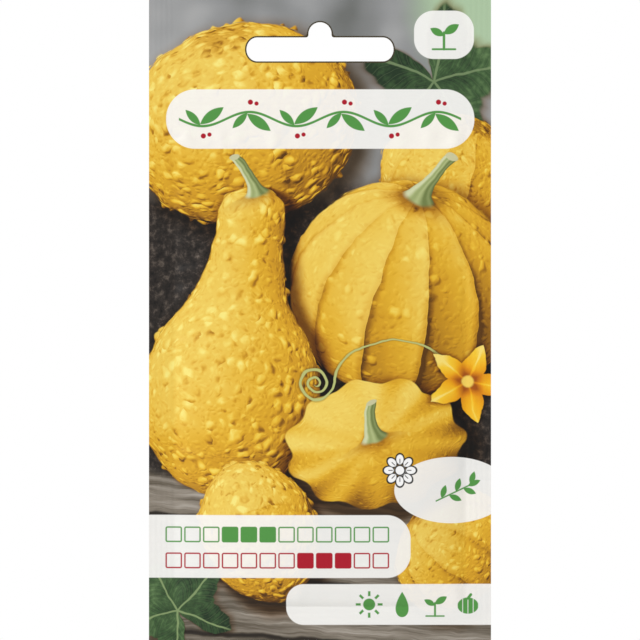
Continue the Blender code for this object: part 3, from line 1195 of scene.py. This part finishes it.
def makeWeb(name, side):
    # side is -1 for the front and 1 for the back
    half, low, high = packet["halfPouch"], packet["pouchBottom"], packet["pouchTop"]
    seal, pouch = relief["sealCell"], relief["pouchCell"]
    columns = spread(-packet["halfWidth"], seal, -half, pouch, half, seal, packet["halfWidth"])
    rows = spread(
        packet["bottom"], seal, low, pouch, high, seal, high + relief["bandHeight"],
        relief["headerCell"], packet["top"])
    deselect()
    bpy.ops.mesh.primitive_grid_add(
        x_subdivisions=len(columns) - 1, y_subdivisions=len(rows) - 1, size=1.0)
    web = bpy.context.object
    web.name = name
    pleats = makePleats(random.Random(17 + side))
    bumps = findSeeds(side)
    plane = packet["sealGap"] / 2 + packet["thickness"] / 2
    wavesAcross, wavesUp = relief["waves"]
    for point in web.data.vertices:
        x = columns[round((point.co.x + 0.5) * (len(columns) - 1))]
        z = rows[round((point.co.y + 0.5) * (len(rows) - 1))]
        out = belly(x, z)
        if out > 0:
            here = Vector((x, z))
            roll = noise.noise(Vector((x * wavesAcross, z * wavesUp, side * 3.0))) * 0.5 + 0.5
            soft = roll * relief["undulation"] + seedLift(here, bumps)
            out += ease(out / relief["fadeIn"]) * soft
            out += pleatLift(here, pleats)
        point.co = Vector((x, side * (plane + out) + crimp(x, z) - curl(x, z), z))
    if side > 0:
        editAll()
        bpy.ops.mesh.flip_normals()
        bpy.ops.object.mode_set(mode="OBJECT")
    return web


def arcPoints(centre, radii, start, stop, steps):
    turns = [math.radians(start + (stop - start) * number / steps) for number in range(steps + 1)]
    return [(centre[0] + radii[0] * math.cos(turn), centre[1] + radii[1] * math.sin(turn))
            for turn in turns]


def makeHolePunch():
    # the hang hole's outline, round from the right end, as a solid to cut with
    top = -hangHole["crownRise"]
    middle = top - hangHole["barHeight"] / 2
    end = hangHole["width"] / 2 - hangHole["endReach"]
    endRadii = (hangHole["endReach"], hangHole["barHeight"] / 2)
    crown = hangHole["crownRadius"]
    fillet = hangHole["fillet"]
    corner = (crown + fillet, top + fillet)
    outline = [
        *arcPoints((end, middle), endRadii, -90, 90, 24),
        *arcPoints(corner, (fillet, fillet), 270, 180, 6),
        *arcPoints((0.0, -crown), (crown, crown), 0, 180, 32),
        *arcPoints((-corner[0], corner[1]), (fillet, fillet), 0, -90, 6),
        *arcPoints((-end, middle), endRadii, 90, 270, 24),
    ]
    curve = bpy.data.curves.new("hole_outline", "CURVE")
    curve.dimensions = "2D"
    curve.fill_mode = "BOTH"
    curve.extrude = 0.004        # to each side, past the webs and the curl
    line = curve.splines.new("POLY")
    line.points.add(len(outline) - 1)
    for point, (x, y) in zip(line.points, outline):
        point.co = (x * millimetre, y * millimetre, 0.0, 1.0)
    line.use_cyclic_u = True
    punch = bpy.data.objects.new("hole_punch", curve)
    bpy.context.collection.objects.link(punch)
    punch.rotation_euler = (math.pi / 2, 0.0, 0.0)
    select(punch)
    bpy.ops.object.convert(target="MESH")
    bpy.ops.object.transform_apply(location=True, rotation=True, scale=True)
    editAll()
    bpy.ops.mesh.remove_doubles(threshold=0.000001)
    bpy.ops.mesh.normals_make_consistent(inside=False)
    bpy.ops.object.mode_set(mode="OBJECT")
    return punch


def modify(web, name, kind, settings):
    select(web)
    modifier = web.modifiers.new(name, kind)
    for setting, value in settings.items():
        setattr(modifier, setting, value)
    bpy.ops.object.modifier_apply(modifier=modifier.name)


def cutWeb(web, punch):
    # the paper's thickness, and the hang hole through it
    modify(web, "thickness", "SOLIDIFY", {
        "thickness": packet["thickness"], "offset": 0.0, "use_even_offset": True})
    modify(web, "hang_hole", "BOOLEAN", {
        "operation": "DIFFERENCE", "solver": "EXACT", "object": punch})


def dressWeb(web, side, plates):
    # plates are the parts of the printed page; after them come the inside and the cut edge
    web.data.materials.clear()
    for plate in plates:
        web.data.materials.append(plate["material"])
    web.data.materials.append(insidePaper)
    web.data.materials.append(edgePaper)
    for face in web.data.polygons:
        u = face.center.x / millimetre * -side
        v = (face.center.z - packet["bottom"]) / millimetre
        outward = face.normal.y * side
        if outward < -0.5:
            face.material_index = len(plates)
        elif outward < 0.5:
            face.material_index = len(plates) + 1
        else:
            for number, plate in enumerate(plates):
                left, low, right, high = plate["window"]
                if left <= u <= right and low <= v <= high:
                    face.material_index = number
                    break
    select(web)
    bpy.ops.object.shade_smooth_by_angle(angle=math.radians(30))
    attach(web, "root")


print("paper finishes")
insidePaper = plainPaper("inside_paper", (243, 240, 232))
edgePaper = plainPaper("cut_edge", (250, 249, 246))
frontPlates = makePlates("front_print", frontPrint, (-41, 0, 41), (-1, 32, 58, 84, 110, 151))
backPlates = makePlates("back_print", backPrint, (-41, 41), (-1, 44, 90, 151))

print("front web")
punch = makeHolePunch()
frontWeb = makeWeb("front_paper", -1)
cutWeb(frontWeb, punch)
dressWeb(frontWeb, -1, frontPlates)
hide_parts("front_web")

print("back web")
backWeb = makeWeb("back_paper", 1)
cutWeb(backWeb, punch)
dressWeb(backWeb, 1, backPlates)
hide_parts("back_web")
bpy.data.objects.remove(punch)

print("seeds")
seedMaterial = seedCoat()
for name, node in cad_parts.items():
    if name.startswith("seed_"):
        node.material_slots[0].material = seedMaterial


# The stage: a pale floor well below the hanging packet, soft light and a long lens

stage = {
    "floorDrop": 0.060, "floorHalf": 1.2, "distance": 1.6, "sensor": 36.0, "skyLight": 0.45,
    "fill": 1.002,       # the packet's ends lie just past the frame, as in the photograph
    "lampSize": 0.7,
    "keyPlace": (-0.9, -1.3, 0.8), "keyPower": 15.9,
    "fillPlace": (0.8, 1.3, 0.9), "fillPower": 14.0,
}
middleHeight = (packet["top"] + packet["bottom"]) / 2


def softLight(name, place, power):
    bpy.ops.object.light_add(type="AREA", location=place)
    light = bpy.context.object
    light.name = name
    light.data.size = stage["lampSize"]
    light.data.energy = power
    aim = Vector((0, 0, middleHeight)) - light.location
    light.rotation_euler = aim.to_track_quat("-Z", "Y").to_euler()


print("stage")
deselect()
bpy.ops.mesh.primitive_plane_add(
    size=stage["floorHalf"] * 2, location=(0, 0, packet["bottom"] - stage["floorDrop"]))
floor = bpy.context.object
floor.name = "floor"
floorPad = Pad("pale_floor")
floorPad.shader.inputs["Base Color"].default_value = ink(246, 246, 244)
floor.data.materials.append(floorPad.material)

softLight("key_light", stage["keyPlace"], stage["keyPower"])
softLight("fill_light", stage["fillPlace"], stage["fillPower"])

# The sky lights the packet at its own level, and the camera sees it white
world = bpy.data.worlds.new("studio")
world.use_nodes = True
seen = world.node_tree.nodes.new("ShaderNodeLightPath")
level = world.node_tree.nodes.new("ShaderNodeMapRange")
level.inputs["To Min"].default_value = stage["skyLight"]
background = world.node_tree.nodes["Background"]
background.inputs["Color"].default_value = (1.0, 1.0, 1.0, 1.0)
world.node_tree.links.new(seen.outputs["Is Camera Ray"], level.inputs["Value"])
world.node_tree.links.new(level.outputs[0], background.inputs["Strength"])
bpy.context.scene.world = world
bpy.context.scene.view_settings.view_transform = "Standard"

bpy.ops.object.camera_add(
    location=(0, -stage["distance"], middleHeight), rotation=(math.pi / 2, 0, 0))
camera = bpy.context.object
camera.name = "camera"
camera.data.sensor_width = stage["sensor"]
camera.data.lens = stage["sensor"] * stage["distance"] / (packet["top"] - packet["bottom"])
camera.data.lens *= stage["fill"]
bpy.context.scene.camera = camera
